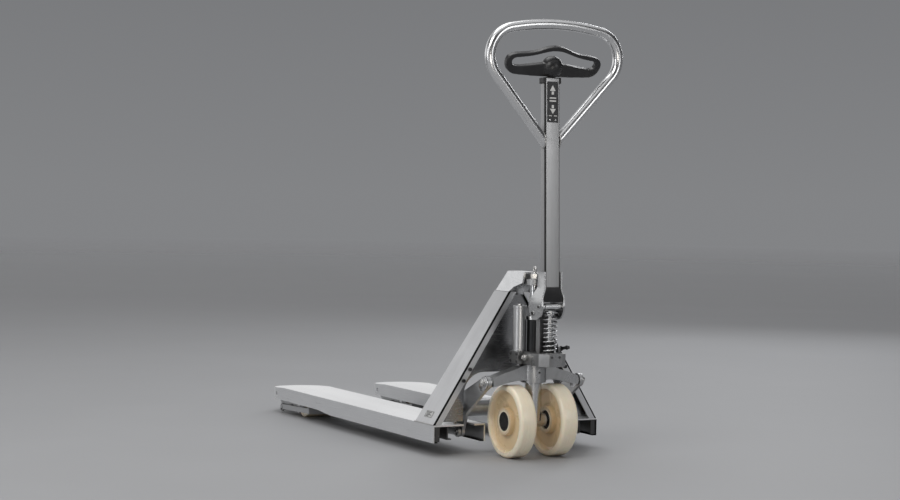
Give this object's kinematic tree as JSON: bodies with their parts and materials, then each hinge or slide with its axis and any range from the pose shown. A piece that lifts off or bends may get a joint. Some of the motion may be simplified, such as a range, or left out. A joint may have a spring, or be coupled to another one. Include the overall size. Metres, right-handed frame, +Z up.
{
  "type": "pallet jack",
  "caption": "Stainless steel hand pallet truck: two lifting forks on load rollers, hydraulic pump, steered wheels and a tilting handle with a control lever.",
  "frame": {"origin": "middle of the truck's footprint, on the floor", "axes": "+X along the forks towards their tips, +Y to the left seen from the handle, +Z up"},
  "size_m": [1.43, 0.52, 1.186],
  "materials": {
    "stainless_sheet": "satin stainless sheet, fine grained, with scuffs from pallets",
    "stainless_inner": "unpolished stainless inner sheet",
    "stainless_cast": "cast and machined stainless steel",
    "polished_tube": "polished stainless tube",
    "bright_pin": "ground and polished steel pins, rods and rings",
    "spring_wire": "bright spring wire",
    "dark_steel": "dark finished steel",
    "black_plastic": "satin black moulded plastic",
    "black_label": null,
    "info_label": "small rating plate with plain bars",
    "nylon_cream": "cream cast nylon, warm brown in the dish",
    "black_rubber_cap": "black hub cap",
    "bronze": "bronze thrust washer"
  },
  "bodies": {
    "chassis": {"left_fork": "stainless_sheet", "right_fork": "stainless_sheet", "left_fork_ribs": "stainless_inner", "right_fork_ribs": "stainless_inner", "left_side_channel": "stainless_sheet", "right_side_channel": "stainless_sheet", "back_plate": "stainless_sheet", "head_cap": "stainless_sheet", "head_lug": "stainless_inner", "ram_rod": "bright_pin", "top_nut": "bright_pin", "lifting_eye": "bright_pin", "crank_brackets": "stainless_sheet", "crank_pins": "bright_pin", "bracket_pivot_pins": "bright_pin", "flange_bolts": "dark_steel", "info_plate": "info_label"},
    "carriage": {"crosshead": "stainless_cast", "link_pins": "bright_pin", "thrust_washer": "bronze"},
    "steering_unit": {"pump_base": "stainless_cast", "reservoir": "polished_tube", "valve_block": "dark_steel", "valve_knob": "bright_pin", "ram_cylinder": "dark_steel", "ram_gland": "bright_pin", "pump_barrel": "dark_steel", "steering_column": "stainless_cast", "steering_axle": "bright_pin", "axle_circlips": "dark_steel"},
    "left_wheel": {"left_wheel": "nylon_cream", "left_bearings": "bright_pin", "left_hub_cap": "black_rubber_cap"},
    "right_wheel": {"right_wheel": "nylon_cream", "right_bearings": "bright_pin", "right_hub_cap": "black_rubber_cap"},
    "plunger": {"pump_plunger": "bright_pin", "pump_spring": "spring_wire"},
    "release_lever": {"release_lever": "dark_steel"},
    "handle": {"left_cheek": "stainless_sheet", "right_cheek": "stainless_sheet", "handle_base": "black_plastic", "handle_pins": "bright_pin", "handle_tube": "stainless_sheet", "handle_loop": "polished_tube", "label_plate": "black_label", "lever_socket": "black_plastic"},
    "pump_roller": {"pump_roller": "bright_pin"},
    "control_lever": {"control_lever": "black_plastic"},
    "rocker": {"torsion_tube": "stainless_inner", "bell_cranks": "stainless_inner", "rod_pins": "bright_pin"},
    "left_pushrod": {"left_pushrod": "stainless_inner"},
    "right_pushrod": {"right_pushrod": "stainless_inner"},
    "left_roller_bracket": {"left_roller_bracket": "stainless_inner", "left_roller_axle": "bright_pin"},
    "right_roller_bracket": {"right_roller_bracket": "stainless_inner", "right_roller_axle": "bright_pin"},
    "left_load_roller": {"left_load_roller": "nylon_cream"},
    "right_load_roller": {"right_load_roller": "nylon_cream"}
  },
  "joints": [
    {"name": "lift", "type": "slide", "parent": "chassis", "child": "carriage", "axis": [0, 0, -1], "range_m": [0, 0.115]},
    {"name": "steer", "type": "hinge", "parent": "carriage", "child": "steering_unit", "pos_m": [-0.591, 0, 0.2], "axis": [0, 0, 1], "range_deg": [-90, 90]},
    {"name": "left_wheel_spin", "type": "hinge", "parent": "steering_unit", "child": "left_wheel", "pos_m": [-0.591, 0.0645, 0.1], "axis": [0, 1, 0], "continuous": true},
    {"name": "right_wheel_spin", "type": "hinge", "parent": "steering_unit", "child": "right_wheel", "pos_m": [-0.591, -0.0645, 0.1], "axis": [0, 1, 0], "continuous": true},
    {"name": "handle_tilt", "type": "hinge", "parent": "steering_unit", "child": "handle", "pos_m": [-0.647, 0, 0.397], "axis": [0, -1, 0], "range_deg": [0, 75], "stiffness_Nm_per_rad": 22, "springref_deg": -20.05},
    {"name": "plunger_stroke", "type": "slide", "parent": "steering_unit", "child": "plunger", "axis": [0, 0, -1], "range_m": [0, 0.0441], "deforming": ["pump_spring"]},
    {"name": "pump_roller_spin", "type": "hinge", "parent": "handle", "child": "pump_roller", "pos_m": [-0.67835, 0, 0.41611], "axis": [0, 1, 0], "continuous": true},
    {"name": "control_lever_tilt", "type": "hinge", "parent": "handle", "child": "control_lever", "pos_m": [-0.66284, 0, 1.06096], "axis": [0, 1, 0], "range_deg": [-10, 10], "stiffness_Nm_per_rad": 2},
    {"name": "release_lever_tilt", "type": "hinge", "parent": "steering_unit", "child": "release_lever", "pos_m": [-0.661, -0.036, 0.301], "axis": [0, 1, 0], "range_deg": [-3, 3]},
    {"name": "rocker_swing", "type": "hinge", "parent": "chassis", "child": "rocker", "pos_m": [-0.426, 0, 0.122], "axis": [0, -1, 0], "range_deg": [0, 37.58]},
    {"name": "left_pushrod_travel", "type": "slide", "parent": "chassis", "child": "left_pushrod", "axis": [1, 0, 0], "range_m": [0, 0.0425]},
    {"name": "right_pushrod_travel", "type": "slide", "parent": "chassis", "child": "right_pushrod", "axis": [1, 0, 0], "range_m": [0, 0.0425]},
    {"name": "left_bracket_swing", "type": "hinge", "parent": "chassis", "child": "left_roller_bracket", "pos_m": [0.623, 0.18, 0.06], "axis": [0, -1, 0], "range_deg": [0, 56.3]},
    {"name": "right_bracket_swing", "type": "hinge", "parent": "chassis", "child": "right_roller_bracket", "pos_m": [0.623, -0.18, 0.06], "axis": [0, -1, 0], "range_deg": [0, 56.3]},
    {"name": "left_roller_spin", "type": "hinge", "parent": "left_roller_bracket", "child": "left_load_roller", "pos_m": [0.474, 0.18, 0.04], "axis": [0, 1, 0], "continuous": true},
    {"name": "right_roller_spin", "type": "hinge", "parent": "right_roller_bracket", "child": "right_load_roller", "pos_m": [0.474, -0.18, 0.04], "axis": [0, 1, 0], "continuous": true}
  ],
  "couplings": [
    {"joint": "plunger_stroke", "follows": "handle_tilt", "m_per_rad": 0.03361},
    {"joint": "release_lever_tilt", "follows": "control_lever_tilt", "ratio": -0.3},
    {"joint": "rocker_swing", "follows": "lift", "rad_per_m": 5.702},
    {"joint": "left_pushrod_travel", "follows": "lift", "ratio": 0.3687},
    {"joint": "right_pushrod_travel", "follows": "lift", "ratio": 0.3687},
    {"joint": "left_bracket_swing", "follows": "lift", "rad_per_m": 8.536},
    {"joint": "right_bracket_swing", "follows": "lift", "rad_per_m": 8.536}
  ]
}
